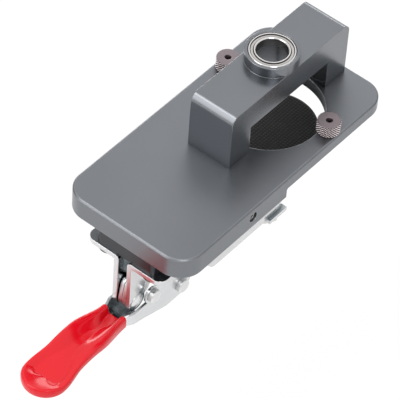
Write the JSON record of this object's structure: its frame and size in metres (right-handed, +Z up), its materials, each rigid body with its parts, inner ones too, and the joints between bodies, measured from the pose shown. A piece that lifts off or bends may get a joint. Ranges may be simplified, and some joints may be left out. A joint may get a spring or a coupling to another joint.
{
  "type": "hinge drilling jig",
  "caption": "Clamp-on jig with a fenced plate, a bridge with a drill bearing, knurled pilot bushes and an over-centre toggle clamp, for boring cabinet hinge cups.",
  "frame": {"origin": "on the drill axis, in the plate's underside that rests on the door", "axes": "+X along the plate away from the clamp handle, +Y to the rear side, +Z up towards the drill"},
  "size_m": [0.1671, 0.0576, 0.0929],
  "materials": {
    "plate": "satin",
    "block": "matte",
    "clamp_steel": "satin",
    "rivet_steel": "satin",
    "bearing_steel": "polished",
    "cage_brass": "satin",
    "bush_steel": "satin",
    "black_screw": "matte",
    "grip_vinyl": "gloss",
    "pad_rubber": "matte"
  },
  "bodies": {
    "jig": {"base_plate": "plate", "bridge": "plate", "bridge_screws": "black_screw", "bearing_outer_race": "bearing_steel", "bearing_shields": "bearing_steel", "side_set_screw": "rivet_steel", "spacer_block": "block", "clamp_screws": "black_screw", "clamp_base_front": "clamp_steel", "clamp_base_rear": "clamp_steel", "link_rivet": "rivet_steel", "arm_rivet": "rivet_steel", "arm_spacers": "rivet_steel"},
    "race": {"bearing_inner_race": "bearing_steel"},
    "ball_set": {"bearing_balls": "bearing_steel", "bearing_cage": "cage_brass"},
    "bush_front": {"pilot_bush_front": "bush_steel"},
    "bush_rear": {"pilot_bush_rear": "bush_steel"},
    "links": {"link_front": "clamp_steel", "link_rear": "clamp_steel", "link_pin": "rivet_steel"},
    "arm": {"clamp_arm": "clamp_steel", "flanged_washers": "clamp_steel", "spindle_nuts": "clamp_steel"},
    "handle": {"handle_lever": "clamp_steel", "handle_rivet": "rivet_steel", "handle_washers": "rivet_steel", "knee_rivets": "rivet_steel", "handle_grip": "grip_vinyl"},
    "presser": {"spindle": "clamp_steel", "pad": "pad_rubber"}
  },
  "joints": [
    {"name": "arm_swing", "type": "hinge", "parent": "jig", "child": "arm", "pos_m": [-0.046, 0, -0.031], "axis": [0, 1, 0], "range_deg": [0, 75]},
    {"name": "handle_swing", "type": "hinge", "parent": "arm", "child": "handle", "pos_m": [-0.0534, 0, -0.0442], "axis": [0, -1, 0], "range_deg": [0, 150.3]},
    {"name": "link_swing", "type": "hinge", "parent": "jig", "child": "links", "pos_m": [-0.0763, 0, -0.036], "axis": [0, 1, 0], "range_deg": [0, 56.4]},
    {"name": "spindle_height", "type": "slide", "parent": "arm", "child": "presser", "axis": [0, 0, 1], "range_m": [-0.01, 0.003]},
    {"name": "bearing_spin", "type": "hinge", "parent": "jig", "child": "race", "pos_m": [0, 0, 0.0325], "axis": [0, 0, 1], "continuous": true},
    {"name": "cage_spin", "type": "hinge", "parent": "jig", "child": "ball_set", "pos_m": [0, 0, 0.0325], "axis": [0, 0, 1], "continuous": true},
    {"name": "front_bush_lift", "type": "slide", "parent": "jig", "child": "bush_front", "axis": [0, 0, 1], "range_m": [0, 0.008]},
    {"name": "rear_bush_lift", "type": "slide", "parent": "jig", "child": "bush_rear", "axis": [0, 0, 1], "range_m": [0, 0.008]}
  ],
  "couplings": [
    {"joint": "arm_swing", "follows": "handle_swing", "ratio": 0.499},
    {"joint": "link_swing", "follows": "handle_swing", "ratio": 0.37525},
    {"joint": "cage_spin", "follows": "bearing_spin", "ratio": 0.4467}
  ]
}
